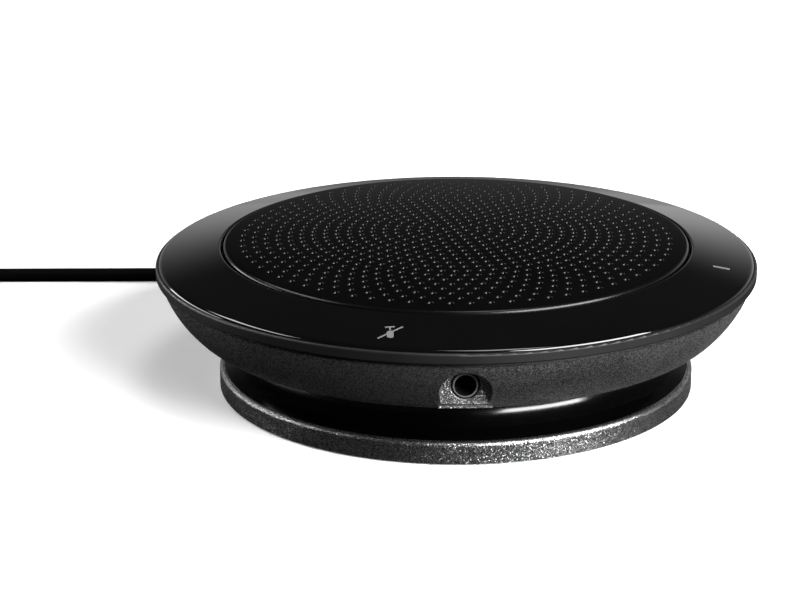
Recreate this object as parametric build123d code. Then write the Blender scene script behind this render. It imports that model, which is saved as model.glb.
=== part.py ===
"""Round conference speakerphone with a touch ring, a perforated grille and a winding groove for its USB cord.

The unit stands on Z = 0 with its axis on Z, and the headset jack faces -Y. All sizes are in millimetres.
"""
import os
from math import cos, pi, radians, sin, tan

from build123d import *

# Outside of the unit
RIM_R = 58.0            # satin rim band, the widest part
BASE_R = 46.3
BASE_TOP = 4.4
FLANGE_R = 45.3         # the neck's foot covers the plate's top out to here
FLANGE_THICK = 0.6
PLATE_TOP = BASE_TOP - FLANGE_THICK
PAD_PROUD = 0.3         # rubber pad below the plate
BOWL_TOP = 22.4         # upper edge of the lower casing
BOWL_RIM_R = 57.1
BOWL_RIM_SLOPE = 72.0   # degrees from horizontal at the upper edge
BOWL_UPPER_ARC = 20.5
BOWL_LOWER_ARC = 11.0
BOWL_ARC_CHANGE = 45.0  # slope where the two arcs meet
WALL = 1.8
BAND_BOTTOM = 23.2      # leaves a 0.8 mm shadow gap above the bowl
BAND_TOP = 25.2
RING_INNER_R = 45.4     # gloss touch ring
RING_INNER_Z = 28.1
RING_OUTER_R = 56.7
RING_OUTER_Z = 25.8
RING_THICK = 1.5
GRILLE_R = 45.0
GRILLE_APEX = 30.4
GRILLE_DROP = 0.0009    # dome height lost per square millimetre of radius
GRILLE_THICK = 0.9

# Winding groove, cord and plug
GROOVE_ARC = 4.2
GROOVE_FOOT_R = 42.4
NECK_INNER_R = 35.8
CORD_R = 1.5
EXIT_ANGLE = 115.0
EXIT_Z = 7.6
RELIEF_END_R = 50.0
JACKET_END_R = 27.5
COIL_CENTRE = (-127.0, 45.5)
PLUG_X = -146.2
PLUG_Z = 4.25
PLUG_FRONT_Y = -12.0

# Headset jack
JACK_Z = 17.2
JACK_BORE_R = 1.8
JACK_FACE_Y = -51.6
JACK_NOSE_Y = -48.2     # front of the jack's housing
JACK_END_Y = -38.0
CONTACT_ROOT_Y = -43.5
JACK_HOLE_R = 2.56
ARCH_R = 4.25
ARCH_DRAFT = 10.0

# Inside
SHELF_BOTTOM = 21.9     # baffle shelf of the upper casing
SHELF_TOP = 23.2
BOARD_BOTTOM = 14.4
BOARD_TOP = 15.6
TOUCH_BOARD_Z = 23.9
CASING_SCREW_R = 51.3
CASING_SCREW_ANGLES = (20.0, 80.0, 140.0, 200.0, 252.0, 320.0)
BOARD_SCREW_R = 35.5
BOARD_SCREW_ANGLES = (60.0, 180.0, 300.0)
BASE_SCREW_R = 32.0
BASE_SCREW_ANGLES = (30.0, 150.0, 270.0)
DRIVER_SCREW_R = 35.0
DRIVER_SCREW_ANGLES = (45.0, 135.0, 225.0, 315.0)
MICROPHONE_R = 50.6
MICROPHONE_ANGLE = 285.0

# Loudspeaker
POLE_R = 8.5
FORMER_R = 8.9
CONE_R = 23.8
ROLL_R = 26.2           # middle of the surround's half roll


def disc(radius, bottom, top):
    return Pos(0, 0, (bottom + top) / 2) * Cylinder(radius, top - bottom)


def ring(inner, outer, bottom, top):
    return disc(outer, bottom, top) - disc(inner, bottom - 1, top + 1)


def box_at(x, y, z, length, width, height):
    return Pos(x, y, z) * Box(length, width, height)


def block(x_low, x_high, y_low, y_high, z_low, z_high):
    centre = Pos((x_low + x_high) / 2, (y_low + y_high) / 2, (z_low + z_high) / 2)
    return centre * Box(x_high - x_low, y_high - y_low, z_high - z_low)


def line(*points):
    return Polyline(*[(radius, 0, height) for radius, height in points])


def arc(start, middle, end):
    return ThreePointArc(*[(radius, 0, height) for radius, height in (start, middle, end)])


def rounded_edge(radius, top, size):
    """A quarter round from the side at this radius to the top face."""
    inset = size * (1 - cos(pi / 4))
    return arc((radius, top - size), (radius - inset, top - inset), (radius - size, top))


def turned(*edges):
    """A solid of revolution from the edges of a closed outline of radii and heights."""
    return revolve(make_face(edges), Axis.Z, 360)


def turned_polygon(*points):
    return turned(line(*points, points[0]))


def around(radius, angle):
    return radius * cos(radians(angle)), radius * sin(radians(angle))


def post(radius, place_r, angle, bottom, top):
    x, y = around(place_r, angle)
    return Pos(x, y, 0) * disc(radius, bottom, top)


def along_y(radius, x, z, y_low, y_high):
    return Pos(x, (y_low + y_high) / 2, z) * Rot(90, 0, 0) * Cylinder(radius, y_high - y_low)


def at_exit(radius, start, end):
    """A round bar on the cord's exit line, from radius start to radius end of the unit."""
    bar = Pos((start + end) / 2, 0, EXIT_Z) * Rot(0, 90, 0) * Cylinder(radius, end - start)
    return Rot(0, 0, EXIT_ANGLE) * bar


def group(shapes):
    return Compound(children=[solid for shape in shapes for solid in shape.solids()])


def tube(points, section_r=CORD_R):
    """A cord or wire along straight runs joined by the largest arcs that the runs allow."""
    corners = [Vector(*point) for point in points]
    radii = []
    for before, here, after in zip(corners, corners[1:], corners[2:]):
        turn = (here - before).get_angle(after - here)
        shorter = min((here - before).length, (after - here).length)
        radii.append(0.45 * shorter / tan(radians(turn) / 2))
    path = FilletPolyline(*corners, radius=radii)
    section = Plane(origin=path @ 0, z_dir=path % 0) * Circle(section_r)
    print("bend radii", [round(radius, 1) for radius in radii], "length", round(path.length, 1))
    return sweep(section, path)


def on_arc(centre, radius, slope):
    """The point of a bowl arc where its outline has this slope."""
    return centre[0] + radius * sin(radians(slope)), centre[1] - radius * cos(radians(slope))


UPPER_CENTRE = (
    BOWL_RIM_R - BOWL_UPPER_ARC * sin(radians(BOWL_RIM_SLOPE)),
    BOWL_TOP + BOWL_UPPER_ARC * cos(radians(BOWL_RIM_SLOPE)),
)
LOWER_CENTRE = on_arc(UPPER_CENTRE, BOWL_UPPER_ARC - BOWL_LOWER_ARC, BOWL_ARC_CHANGE)
BOWL_UNDER = LOWER_CENTRE[1] - BOWL_LOWER_ARC
FLOOR_TOP = BOWL_UNDER + WALL


def bowl_form(inset, inner_r, top):
    """The bowl's outer form moved inwards by inset, solid out from inner_r and up to top."""
    upper_r = BOWL_UPPER_ARC - inset
    lower_r = BOWL_LOWER_ARC - inset
    rim = on_arc(UPPER_CENTRE, upper_r, BOWL_RIM_SLOPE)
    middle = on_arc(UPPER_CENTRE, upper_r, (BOWL_RIM_SLOPE + BOWL_ARC_CHANGE) / 2)
    change = on_arc(UPPER_CENTRE, upper_r, BOWL_ARC_CHANGE)
    low = on_arc(LOWER_CENTRE, lower_r, BOWL_ARC_CHANGE / 2)
    flat = on_arc(LOWER_CENTRE, lower_r, 0)
    inside = [flat, (inner_r, flat[1]), (inner_r, top)]
    if top > rim[1]:
        inside.append((rim[0], top))
    return turned(arc(rim, middle, change), arc(change, low, flat), line(*inside, rim))


def base_pad():
    return disc(44.0, 0, 1.2)


def base_plate():
    web_bottom = 2.4
    edge = 0.8
    plate = turned(
        line((44.3, PAD_PROUD), (BASE_R, PAD_PROUD), (BASE_R, BASE_TOP - edge)),
        rounded_edge(BASE_R, BASE_TOP, edge),
        line((BASE_R - edge, BASE_TOP), (FLANGE_R, BASE_TOP), (FLANGE_R, PLATE_TOP), (8, PLATE_TOP),
             (8, web_bottom), (44.3, web_bottom), (44.3, PAD_PROUD)),
    )
    rib = block(10, 44.8, -0.8, 0.8, 1.25, web_bottom + 0.2)
    for angle in range(0, 360, 60):
        plate += Rot(0, 0, angle) * rib
    for angle in BASE_SCREW_ANGLES:
        plate += post(4.2, BASE_SCREW_R, angle, 1.25, 3.4)
        plate -= post(1.25, BASE_SCREW_R, angle, 0, 5)
        plate -= post(2.6, BASE_SCREW_R, angle, 1, 2.9)
    return plate


def base_screws():
    screws = []
    for angle in BASE_SCREW_ANGLES:
        head = post(2.4, BASE_SCREW_R, angle, 1.3, 2.9)
        screws.append(head + post(1.05, BASE_SCREW_R, angle, 2.9, 13.6))
    return group(screws)


def base_weight():
    return ring(12.0, 27.0, PLATE_TOP, 5.4)


def winding_neck():
    """A glossy waist on a flange in the plate: a quarter arc up, and on to the underside of the bowl."""
    centre_z = BASE_TOP + GROOVE_ARC
    waist = (GROOVE_FOOT_R - GROOVE_ARC, centre_z)
    top_r = GROOVE_FOOT_R - (GROOVE_ARC**2 - (BOWL_UNDER - centre_z) ** 2) ** 0.5
    foot = (GROOVE_FOOT_R, BASE_TOP)
    neck = turned(
        arc(foot, waist, (top_r, BOWL_UNDER)),
        line((top_r, BOWL_UNDER), (NECK_INNER_R, BOWL_UNDER), (NECK_INNER_R, PLATE_TOP),
             (FLANGE_R, PLATE_TOP), (FLANGE_R, BASE_TOP), foot),
    )
    for angle in BASE_SCREW_ANGLES:
        neck += post(4.2, BASE_SCREW_R, angle, PLATE_TOP, BOWL_UNDER)
        neck -= post(1.25, BASE_SCREW_R, angle, PLATE_TOP - 1, BOWL_UNDER + 1)
    return neck - at_exit(2.6, 30, 50)


def strain_relief():
    taper = Pos((39.5 + RELIEF_END_R) / 2, 0, EXIT_Z) * Rot(0, 90, 0) * Cone(2.5, 1.9, RELIEF_END_R - 39.5)
    sleeve = at_exit(3.0, 34.0, 35.6) + at_exit(2.5, 35.5, 39.5) + Rot(0, 0, EXIT_ANGLE) * taper
    for start in (41.4, 43.6, 45.8, 48.0):
        sleeve -= at_exit(3.2, start, start + 0.7) - at_exit(1.85, start - 1, start + 2)
    return sleeve - at_exit(CORD_R, 30, RELIEF_END_R + 1)


def inner_lead():
    """The jacketed end of the cord, from the strain relief through the clamp."""
    return at_exit(CORD_R, JACKET_END_R, RELIEF_END_R)


def lead_wires():
    """Four thin wires from the jacket's end, up beside the yoke and into the socket."""
    route = [(JACKET_END_R, EXIT_Z), (21.5, EXIT_Z), (19.2, 12.0), (20.6, 16.0), (24.5, 17.0)]
    wires = []
    for offset in (-1.05, -0.35, 0.35, 1.05):
        wire = tube([(radius, offset, height) for radius, height in route], 0.3)
        wires.append(Rot(0, 0, EXIT_ANGLE) * wire)
    return group(wires)


def cord_clamp():
    body = Rot(0, 0, EXIT_ANGLE) * block(29.4, 33.0, -5.5, 5.5, PLATE_TOP, 9.6)
    return body - at_exit(CORD_R, 25, 36)


def jack_recess():
    """The arched cut around the jack: a flat face at its bottom and walls that open outwards."""
    face = Plane(origin=(0, JACK_FACE_Y, JACK_Z - 1.0), x_dir=(1, 0, 0), z_dir=(0, -1, 0))
    arch = Circle(ARCH_R) + Pos(0, -4.0) * Rectangle(2 * ARCH_R, 8.0)
    return extrude(face * arch, 9.0, taper=-ARCH_DRAFT)


def lower_casing():
    shell = bowl_form(0, 22.6, BOWL_TOP) - bowl_form(WALL, 20.0, 30.0)
    backing = along_y(ARCH_R + 1.4, 0, JACK_Z - 1.0, -60, JACK_FACE_Y + 2.0)
    backing += block(-6.3, 6.3, -60, JACK_FACE_Y + 2.0, FLOOR_TOP - 0.6, JACK_Z - 1.0)
    shell += (backing & bowl_form(0, 22.0, BOWL_TOP)) - disc(55.0, 21.7, 40)
    shell -= jack_recess()
    shell += block(-4.8, 4.8, JACK_FACE_Y - 0.45, JACK_FACE_Y + 1.4, 13.2, 13.65)
    shell -= along_y(JACK_HOLE_R, 0, JACK_Z, -60, -45)
    shell -= Pos(0, JACK_FACE_Y + 0.1, JACK_Z) * Rot(90, 0, 0) * Cone(JACK_HOLE_R, JACK_HOLE_R + 0.2, 0.2)
    for angle in CASING_SCREW_ANGLES:
        shell += post(2.6, CASING_SCREW_R, angle, 13.5, 19.9) & bowl_form(0.5, 20.0, 30.0)
        shell -= post(1.0, CASING_SCREW_R, angle, 15.4, 25)
    for angle in BOARD_SCREW_ANGLES:
        shell += post(2.4, BOARD_SCREW_R, angle, FLOOR_TOP - 0.5, BOARD_BOTTOM)
        shell -= post(0.85, BOARD_SCREW_R, angle, BOWL_UNDER + 0.8, BOARD_BOTTOM + 1)
    for angle in BASE_SCREW_ANGLES:
        shell += post(3.2, BASE_SCREW_R, angle, BOWL_UNDER + 0.2, 14.2)
        shell -= post(1.1, BASE_SCREW_R, angle, BOWL_UNDER - 1, 15)
    return shell


def jack_ferrule():
    return along_y(2.23, 0, JACK_Z, JACK_FACE_Y, JACK_NOSE_Y) - along_y(JACK_BORE_R, 0, JACK_Z, -55, -45)


def jack_housing():
    body = block(-3.3, 3.3, JACK_NOSE_Y, JACK_END_Y, 14.1, 20.2)
    body += along_y(JACK_HOLE_R - 0.06, 0, JACK_Z, JACK_FACE_Y + 0.9, JACK_NOSE_Y)
    body -= along_y(2.23, 0, JACK_Z, -60, JACK_NOSE_Y)
    body += block(-5.6, 5.6, -46.0, -39.0, BOARD_TOP, BOARD_TOP + 0.8)
    body -= along_y(JACK_BORE_R, 0, JACK_Z, -50, JACK_END_Y - 1.0)
    for side in (-1, 1):
        slot = block(1.0, 6.0, CONTACT_ROOT_Y - 0.1, -39.2, JACK_Z - 0.9, JACK_Z + 0.9)
        body -= slot if side > 0 else mirror(slot, Plane.YZ)
    return body


def jack_contact():
    """A leaf spring beside the bore, with a dimple that leans on the plug."""
    leaf = block(2.45, 2.7, CONTACT_ROOT_Y, CONTACT_ROOT_Y + 3.8, JACK_Z - 0.6, JACK_Z + 0.6)
    return leaf + block(1.6, 2.5, CONTACT_ROOT_Y + 2.6, CONTACT_ROOT_Y + 3.3, JACK_Z - 0.45, JACK_Z + 0.45)


def main_board():
    board = ring(24.0, 46.3, BOARD_BOTTOM, BOARD_TOP)
    board -= block(-3.5, 3.5, -50, -37.6, BOARD_BOTTOM - 1, BOARD_TOP + 1)
    for angle in BOARD_SCREW_ANGLES:
        board -= post(1.1, BOARD_SCREW_R, angle, BOARD_BOTTOM - 1, BOARD_TOP + 1)
    return board


def board_screws():
    screws = []
    for angle in BOARD_SCREW_ANGLES:
        head = post(1.9, BOARD_SCREW_R, angle, BOARD_TOP, BOARD_TOP + 1.2)
        screws.append(head + post(0.85, BOARD_SCREW_R, angle, 12.2, BOARD_TOP))
    return group(screws)


def on_board(radius, angle, length, width, height):
    """A component on the main board, with its length along the radius."""
    chip = Pos(radius, 0, BOARD_TOP + height / 2) * Box(length, width, height)
    return Rot(0, 0, angle) * chip


def speaker_socket():
    shroud = on_board(41.0, 210.0, 4.4, 6.0, 3.0)
    pocket = block(39.6, 42.4, -2.2, 2.2, BOARD_TOP + 0.8, BOARD_TOP + 5)
    return shroud - Rot(0, 0, 210.0) * pocket


def capacitors():
    return group([post(2.0, 41.0, angle, BOARD_TOP, BOARD_TOP + 4.2) for angle in (330.0, 337.0, 344.0)])


def ribbon_socket():
    return block(42.6, 46.2, -4.4, 4.4, BOARD_TOP, BOARD_TOP + 1.4)


def ribbon_cable():
    foot_z = BOARD_TOP + 1.4
    upright = block(46.85, 47.0, -3.5, 3.5, foot_z, TOUCH_BOARD_Z)
    return upright + block(44.0, 47.0, -3.5, 3.5, foot_z, foot_z + 0.15)


def upper_casing():
    """The rim band, the baffle shelf under the driver, and a skirt that drops inside the bowl."""
    edge = 0.4
    chamfer = 0.25
    frame = turned(
        line((27.2, SHELF_BOTTOM), (53.4, SHELF_BOTTOM), (53.4, 20.6), (54.2, 20.6), (54.2, SHELF_BOTTOM),
             (54.8, SHELF_BOTTOM), (54.8, BOWL_TOP), (56.3, BOWL_TOP), (56.3, BAND_BOTTOM),
             (RIM_R - chamfer, BAND_BOTTOM), (RIM_R, BAND_BOTTOM + chamfer), (RIM_R, BAND_TOP - edge)),
        rounded_edge(RIM_R, BAND_TOP, edge),
        line((RIM_R - edge, BAND_TOP), (57.5, BAND_TOP), (57.5, 24.2), (55.9, 24.2),
             (55.9, TOUCH_BOARD_Z), (54.4, TOUCH_BOARD_Z), (54.4, SHELF_TOP), (46.4, SHELF_TOP),
             (46.4, TOUCH_BOARD_Z), (45.2, TOUCH_BOARD_Z), (45.2, 26.3), (43.4, 26.3),
             (43.4, SHELF_TOP), (27.2, SHELF_TOP), (27.2, SHELF_BOTTOM)),
    )
    for angle in CASING_SCREW_ANGLES:
        frame += post(1.9, CASING_SCREW_R, angle, 20.0, SHELF_TOP)
        frame -= post(1.1, CASING_SCREW_R, angle, 19, 25)
    for angle in DRIVER_SCREW_ANGLES:
        frame += post(2.2, DRIVER_SCREW_R, angle, 20.4, SHELF_TOP)
        frame -= post(0.9, DRIVER_SCREW_R, angle, 20.8, 25)
    frame -= block(46.5, 47.3, -4.0, 4.0, 20, 25)
    frame -= block(-7.6, 7.6, -56, -50, 20, SHELF_BOTTOM)
    return frame - post(2.6, MICROPHONE_R, MICROPHONE_ANGLE, 20, 25)


def casing_screws():
    screws = []
    for angle in CASING_SCREW_ANGLES:
        head = post(1.8, CASING_SCREW_R, angle, SHELF_TOP, SHELF_TOP + 0.6)
        screws.append(head + post(1.0, CASING_SCREW_R, angle, 15.6, SHELF_TOP))
    return group(screws)


def touch_board():
    board = ring(46.6, 55.6, TOUCH_BOARD_Z, TOUCH_BOARD_Z + 0.4)
    return board - post(2.8, MICROPHONE_R, MICROPHONE_ANGLE, 23, 26)


def light_guide():
    guide = ring(49.6, 50.8, TOUCH_BOARD_Z + 0.4, 25.2)
    return guide - post(2.8, MICROPHONE_R, MICROPHONE_ANGLE, 23, 26)


def indicator_lights():
    low = TOUCH_BOARD_Z + 0.4
    light = block(47.9, 49.5, -0.8, 0.8, low, low + 0.6)
    return group([Rot(0, 0, angle) * light for angle in range(0, 360, 30)])


def touch_ring():
    inner_top = (RING_INNER_R, RING_INNER_Z - 0.35)
    outer = (57.45, BAND_TOP)
    return turned(
        arc(inner_top, (RING_INNER_R + 0.1, RING_INNER_Z - 0.1), (RING_INNER_R + 0.35, RING_INNER_Z)),
        line((RING_INNER_R + 0.35, RING_INNER_Z), (RING_OUTER_R, RING_OUTER_Z)),
        arc((RING_OUTER_R, RING_OUTER_Z), (57.2, 25.57), outer),
        line(outer, (57.45, 24.3), (56.1, 24.3), (RING_INNER_R, RING_INNER_Z - RING_THICK), inner_top),
    )


RING_SLOPE = (RING_INNER_Z - RING_OUTER_Z) / (RING_OUTER_R - RING_INNER_R - 0.35)


def printed_mark(radius, angle, outline):
    """A thin printed mark that lies on the sloping ring, with its outline's X axis along world X."""
    x, y = around(radius, angle)
    height = RING_INNER_Z - RING_SLOPE * (radius - RING_INNER_R - 0.35)
    normal = Vector(RING_SLOPE * x / radius, RING_SLOPE * y / radius, 1)
    plane = Plane(origin=(x, y, height), x_dir=(1, 0, -RING_SLOPE * x / radius), z_dir=normal)
    return extrude(plane * outline, 0.04) + extrude(plane * outline, -0.06)


def mute_mark():
    """A microphone with a stroke through it, read from behind the unit."""
    capsule = Pos(0, -0.6) * Rot(0, 0, 90) * SlotOverall(2.4, 1.2)
    stem = Pos(0, 1.35) * Rectangle(0.3, 1.0)
    foot = Pos(0, 1.9) * Rectangle(1.7, 0.3)
    stroke = Rot(0, 0, 38) * Rectangle(5.6, 0.32)
    return printed_mark(52.3, -104.4, capsule + stem + foot + stroke)


def minus_mark():
    return printed_mark(51.7, -16.9, Rectangle(3.2, 0.7))


def dome_arc(apex, edge_r, sag):
    """A spherical dome's outline, from its apex on the axis out to edge_r, sag lower."""
    sphere_r = (edge_r**2 + sag**2) / (2 * sag)
    middle_r = edge_r / 2
    middle_z = apex - sphere_r + (sphere_r**2 - middle_r**2) ** 0.5
    return arc((0, apex), (middle_r, middle_z), (edge_r, apex - sag))


def speaker_grille():
    """Domed plate with a rounded shoulder and a short skirt that stands on the upper casing."""
    shoulder = GRILLE_R - 0.9
    sag = GRILLE_DROP * shoulder**2
    top_z = GRILLE_APEX - sag
    lip = (GRILLE_R, top_z - 0.8)
    under_apex = GRILLE_APEX - GRILLE_THICK
    return turned(
        dome_arc(GRILLE_APEX, shoulder, sag),
        arc((shoulder, top_z), (GRILLE_R - 0.28, top_z - 0.2), lip),
        line(lip, (GRILLE_R, 26.3), (shoulder, 26.3), (shoulder, under_apex - sag)),
        dome_arc(under_apex, shoulder, sag),
        line((0, under_apex), (0, GRILLE_APEX)),
    )


def dust_screen():
    edge_r = 43.2
    sag = GRILLE_DROP * edge_r**2
    apex = GRILLE_APEX - GRILLE_THICK - 0.05
    thick = 0.25
    return turned(
        dome_arc(apex, edge_r, sag),
        line((edge_r, apex - sag), (edge_r, apex - sag - thick)),
        dome_arc(apex - thick, edge_r, sag),
        line((0, apex - thick), (0, apex)),
    )


def driver_basket():
    basket = turned_polygon(
        (12, 15.8), (18.2, 15.8), (18.2, 17.0), (20.5, 17.0), (26.8, 22.6), (26.8, SHELF_TOP),
        (33.5, SHELF_TOP), (33.5, 24.2), (25.9, 24.2), (25.9, 22.8), (20.1, 17.8), (17.4, 17.8),
        (17.4, 16.6), (12, 16.6),
    )
    for angle in DRIVER_SCREW_ANGLES:
        basket += post(2.8, DRIVER_SCREW_R, angle, SHELF_TOP, 24.2)
        basket -= post(1.0, DRIVER_SCREW_R, angle, 22, 26)
        basket -= Rot(0, 0, angle) * block(20.9, 30, -6.5, 6.5, 18.4, 22.2)
    return basket


def driver_screws():
    screws = []
    for angle in DRIVER_SCREW_ANGLES:
        head = post(1.8, DRIVER_SCREW_R, angle, 24.2, 25.3)
        screws.append(head + post(0.9, DRIVER_SCREW_R, angle, 20.9, 24.2))
    return group(screws)


def yoke():
    return disc(16.0, 9.3, 10.8) + disc(POLE_R, 10.8, 15.8)


def coil_former():
    return ring(FORMER_R, FORMER_R + 0.2, 12.8, 19.6)


def voice_coil():
    return ring(FORMER_R + 0.22, FORMER_R + 0.65, 13.4, 16.6)


def cone():
    neck_r = FORMER_R + 0.22
    return turned_polygon(
        (neck_r, 19.0), (22.8, 23.2), (CONE_R, 23.7), (CONE_R, 24.2), (22.6, 24.2), (neck_r, 19.6),
    )


def dust_cap():
    return turned(
        dome_arc(22.4, 9.9, 2.45),
        line((9.9, 19.95), (9.5, 19.95)),
        dome_arc(22.05, 9.5, 2.1),
        line((0, 22.05), (0, 22.4)),
    )


def surround():
    """Rubber half roll between the cone and the basket, with a flat foot on each."""
    foot_z = 24.2
    top_z = foot_z + 0.5
    return turned(
        line((22.7, foot_z), (ROLL_R - 2.4, foot_z)),
        arc((ROLL_R - 2.4, foot_z), (ROLL_R, foot_z + 2.0), (ROLL_R + 2.4, foot_z)),
        line((ROLL_R + 2.4, foot_z), (33.0, foot_z), (33.0, top_z), (ROLL_R + 2.8, top_z)),
        arc((ROLL_R + 2.8, top_z), (ROLL_R, foot_z + 2.6), (ROLL_R - 2.8, top_z)),
        line((ROLL_R - 2.8, top_z), (22.7, top_z), (22.7, foot_z)),
    )


def spider():
    """Corrugated cloth disc that centres the former."""
    inner_r = FORMER_R + 0.25
    outer_r = 19.6
    low = 17.85
    radii = [inner_r] + [10.3 + 1.1 * step for step in range(7)] + [outer_r]
    lift = [0, 0] + [0.5 if step % 2 == 0 else 0.0 for step in range(6)] + [0]
    upper = [(radius, low + rise + 0.3) for radius, rise in zip(radii, lift)]
    lower = [(radius, low + rise) for radius, rise in zip(radii, lift)]
    return turned_polygon(*lower, *reversed(upper))


def terminal_strip():
    strip = block(33.7, 38.5, -3.5, 3.5, SHELF_TOP, 24.2)
    for side in (-1, 1):
        strip += block(36.0, 40.0, 1.8 * side - 0.6, 1.8 * side + 0.6, 24.2, 24.6)
    return Rot(0, 0, 205.0) * strip


def microphone_boot():
    boot = post(2.5, MICROPHONE_R, MICROPHONE_ANGLE, 21.6, 25.0)
    boot -= post(1.95, MICROPHONE_R, MICROPHONE_ANGLE, 22.2, 24.4)
    return boot - post(0.6, MICROPHONE_R, MICROPHONE_ANGLE, 24, 26)


def usb_cord():
    exit_x, exit_y = around(RELIEF_END_R, EXIT_ANGLE)
    step_x, step_y = around(10.0, EXIT_ANGLE)
    return tube([
        (exit_x, exit_y, EXIT_Z),
        (exit_x + step_x, exit_y + step_y, EXIT_Z),
        (-33.0, 61.0, 3.6),
        (-44.0, 64.4, CORD_R),
        (-58.0, 64.2, CORD_R),
        (-103.0, 65.0, CORD_R),
        (-119.5, 65.0, CORD_R),
    ])


def usb_cord_coil():
    """The bundle of wound turns: two full layers and one turn on top."""
    bundle = turned_polygon(
        (12, 0), (21, 0), (21, 6), (19.5, 6), (19.5, 9), (16.5, 9), (16.5, 6), (12, 6),
    )
    return Pos(*COIL_CENTRE, 0) * bundle


def usb_cord_tail():
    x, y = COIL_CENTRE
    return tube([
        (x - 18.0, y - 8.0, 7.5),
        (x - 18.1, y - 15.0, 7.3),
        (PLUG_X + 0.6, 22.5, 5.0),
        (PLUG_X, 14.5, PLUG_Z),
    ])


def plug_overmould():
    body = box_at(PLUG_X, PLUG_FRONT_Y + 10, PLUG_Z, 16.0, 20.0, 8.5)
    body = fillet(body.edges().filter_by(Axis.Y), 2.0)
    body += Pos(PLUG_X, PLUG_FRONT_Y + 23.2, PLUG_Z) * Rot(-90, 0, 0) * Cone(3.3, 1.9, 6.6)
    return body - box_at(PLUG_X, PLUG_FRONT_Y, PLUG_Z, 12.0, 6.0, 4.5)


def plug_shell():
    """Folded steel shell with two latch windows in its upper and lower face."""
    shell = box_at(PLUG_X, PLUG_FRONT_Y - 4.5, PLUG_Z, 12.0, 15.0, 4.5)
    shell -= box_at(PLUG_X, PLUG_FRONT_Y - 5.15, PLUG_Z, 11.4, 15.7, 3.9)
    for side in (-1, 1):
        shell -= box_at(PLUG_X + 2.9 * side, PLUG_FRONT_Y - 6.3, PLUG_Z, 2.2, 2.2, 6.0)
    return shell


def plug_tongue():
    return box_at(PLUG_X, PLUG_FRONT_Y - 4.55, PLUG_Z - 0.95, 11.2, 14.3, 1.9)


def plug_contacts():
    strips = []
    for offset in (-3.5, -1.0, 1.0, 3.5):
        strips.append(box_at(PLUG_X + offset, PLUG_FRONT_Y - 6.5, PLUG_Z + 0.1, 1.0, 9.0, 0.2))
    return group(strips)


PARTS = {
    "base_pad": base_pad(),
    "base_plate": base_plate(),
    "base_screws": base_screws(),
    "base_weight": base_weight(),
    "winding_neck": winding_neck(),
    "strain_relief": strain_relief(),
    "inner_lead": inner_lead(),
    "lead_wires": lead_wires(),
    "cord_clamp": cord_clamp(),
    "lower_casing": lower_casing(),
    "jack_ferrule": jack_ferrule(),
    "jack_housing": jack_housing(),
    "jack_tip_contact": jack_contact(),
    "jack_ring_contact": mirror(jack_contact(), Plane.YZ),
    "main_board": main_board(),
    "board_screws": board_screws(),
    "processor_chip": on_board(34.0, 0.0, 8.0, 8.0, 1.0),
    "audio_chip": on_board(37.0, 240.0, 6.0, 6.0, 1.0),
    "memory_chip": on_board(36.0, 25.0, 6.0, 5.0, 0.9),
    "clock_crystal": on_board(35.0, 342.0, 3.2, 2.5, 0.8),
    "amplifier_chip": on_board(33.0, 215.0, 5.0, 5.0, 1.0),
    "capacitors": capacitors(),
    "usb_socket": on_board(27.0, EXIT_ANGLE, 5.0, 6.0, 2.8),
    "speaker_socket": speaker_socket(),
    "ribbon_socket": ribbon_socket(),
    "ribbon_cable": ribbon_cable(),
    "upper_casing": upper_casing(),
    "casing_screws": casing_screws(),
    "touch_board": touch_board(),
    "light_guide": light_guide(),
    "indicator_lights": indicator_lights(),
    "touch_ring": touch_ring(),
    "mute_mark": mute_mark(),
    "minus_mark": minus_mark(),
    "speaker_grille": speaker_grille(),
    "dust_screen": dust_screen(),
    "driver_gasket": ring(29.4, 32.8, 24.7, 26.8),
    "driver_basket": driver_basket(),
    "driver_screws": driver_screws(),
    "yoke": yoke(),
    "magnet": ring(11.0, 16.0, 10.8, 14.3),
    "top_plate": ring(10.0, 16.0, 14.3, 15.8),
    "terminal_strip": terminal_strip(),
    "coil_former": coil_former(),
    "voice_coil": voice_coil(),
    "cone": cone(),
    "dust_cap": dust_cap(),
    "surround": surround(),
    "spider": spider(),
    "microphone": post(1.95, MICROPHONE_R, MICROPHONE_ANGLE, 22.2, 24.2),
    "microphone_boot": microphone_boot(),
    "usb_cord": usb_cord(),
    "usb_cord_coil": usb_cord_coil(),
    "usb_cord_tail": usb_cord_tail(),
    "plug_overmould": plug_overmould(),
    "plug_shell": plug_shell(),
    "plug_tongue": plug_tongue(),
    "plug_contacts": plug_contacts(),
}

os.makedirs("parts", exist_ok=True)
for name, shape in PARTS.items():
    export_step(shape, f"parts/{name}.step")
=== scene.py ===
"""Round conference speakerphone: what each piece is made of and how it looks, from the base up."""
from math import cos, pi, radians, sin

import bmesh
import bpy
import numpy as np
from mathutils import Matrix, Vector


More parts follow.
